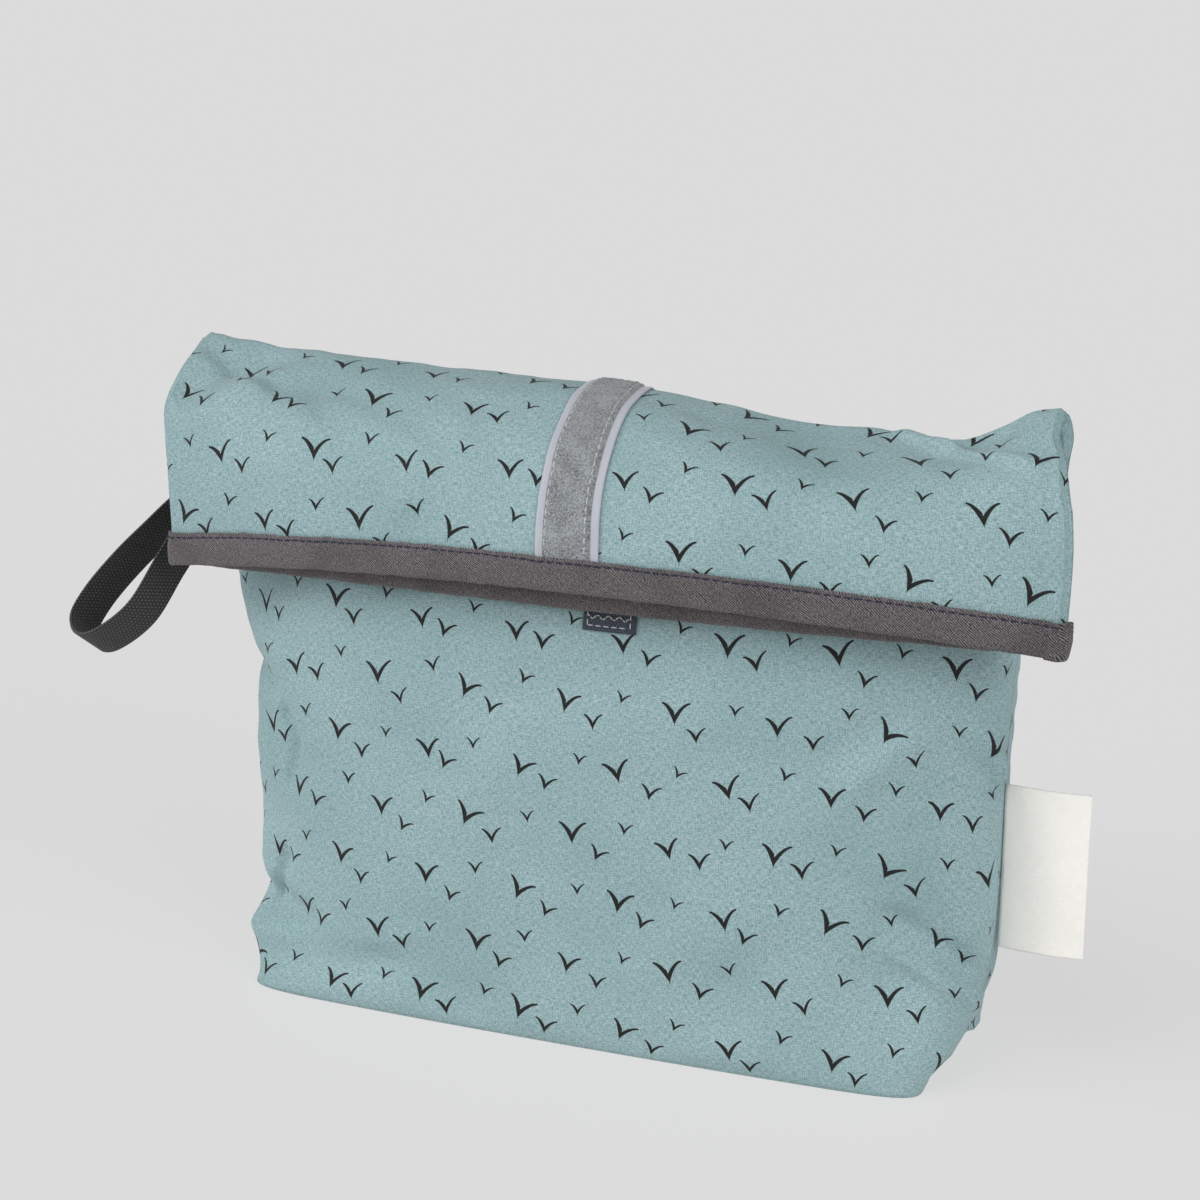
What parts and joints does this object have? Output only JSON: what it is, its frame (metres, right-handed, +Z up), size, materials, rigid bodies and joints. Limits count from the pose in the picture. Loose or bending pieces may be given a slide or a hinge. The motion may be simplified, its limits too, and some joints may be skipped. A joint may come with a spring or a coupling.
{
  "type": "cloth wet bag",
  "caption": "Boxed cloth wet bag, standing, with its mouth folded forward over the front and a hook-and-loop tape over the fold.",
  "frame": {"origin": "middle of the boxed base, on the surface that the bag stands on", "axes": "+X to the bag's right as seen from the front, along its width; +Y to the back; +Z up"},
  "size_m": [0.3471, 0.0903, 0.2112],
  "materials": {
    "print_cloth": "printed laminated cotton",
    "grey_twill": "twill binding",
    "silver_pile": "brushed loop pile",
    "slate_hook": "woven nylon hooks",
    "black_webbing": "ribbed elastic webbing",
    "cream_cotton": "plain cotton tab"
  },
  "bodies": {
    "root": {"front_panel": "print_cloth", "back_panel": "print_cloth", "mouth_binding": "grey_twill", "loop_tape": "silver_pile", "hook_tape": "slate_hook", "webbing_loop": "black_webbing", "side_tab": "cream_cotton"}
  },
  "joints": []
}
